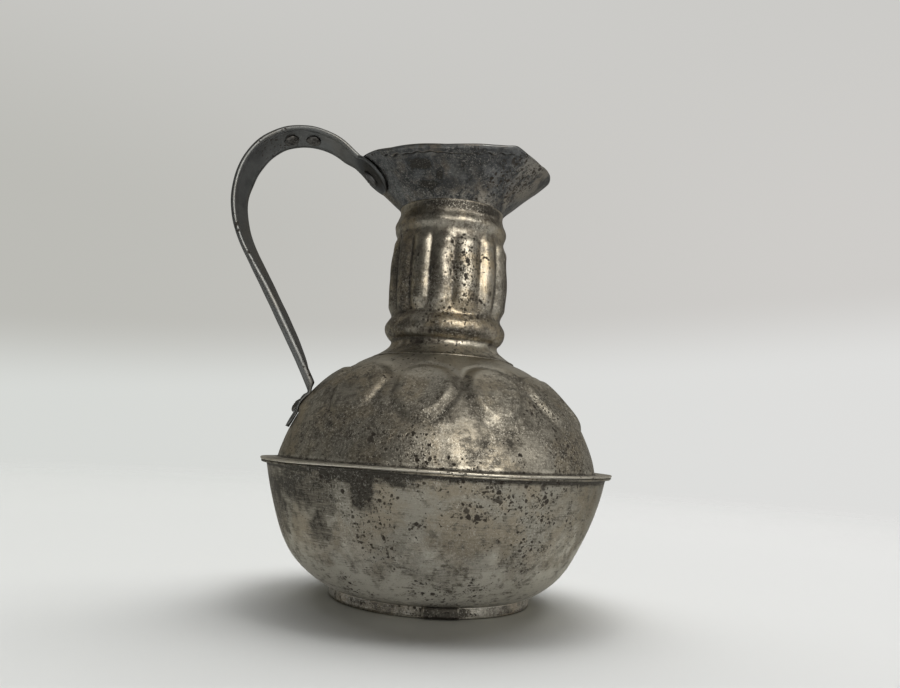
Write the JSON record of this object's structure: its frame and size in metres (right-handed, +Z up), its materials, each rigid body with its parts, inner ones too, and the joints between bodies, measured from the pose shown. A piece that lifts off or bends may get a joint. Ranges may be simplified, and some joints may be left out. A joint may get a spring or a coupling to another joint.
{
  "type": "wine jug",
  "caption": "Round-bodied tinned copper jug with a flanged belly seam, embossed shoulder, fluted neck, funnel mouth with a pouring lip, and a riveted strap handle.",
  "frame": {"origin": "centre of the foot's underside", "axes": "+Z up along the body's axis, +X towards the pouring lip, -X towards the handle"},
  "size_m": [0.1942, 0.1692, 0.224],
  "materials": {
    "bowl_copper": "old tin over copper, brushed, pitted",
    "upper_copper": "old tin over copper, dark patina with pits",
    "mouth_copper": "old tin over copper, dark patina",
    "handle_copper": "old tin over copper, worn edges",
    "rivet_copper": "dark hammered copper",
    "solder": "dull tin solder"
  },
  "bodies": {
    "root": {"lower_bowl": "bowl_copper", "foot_band": "bowl_copper", "foot_solder": "solder", "shoulder_dome": "upper_copper", "belly_solder": "solder", "neck_tube": "upper_copper", "neck_solder": "solder", "pouring_mouth": "mouth_copper", "mouth_solder": "solder", "handle_strap": "handle_copper", "mouth_rivet": "rivet_copper", "shoulder_rivet": "rivet_copper", "crown_rivet_front": "rivet_copper", "crown_rivet_back": "rivet_copper"}
  },
  "joints": []
}
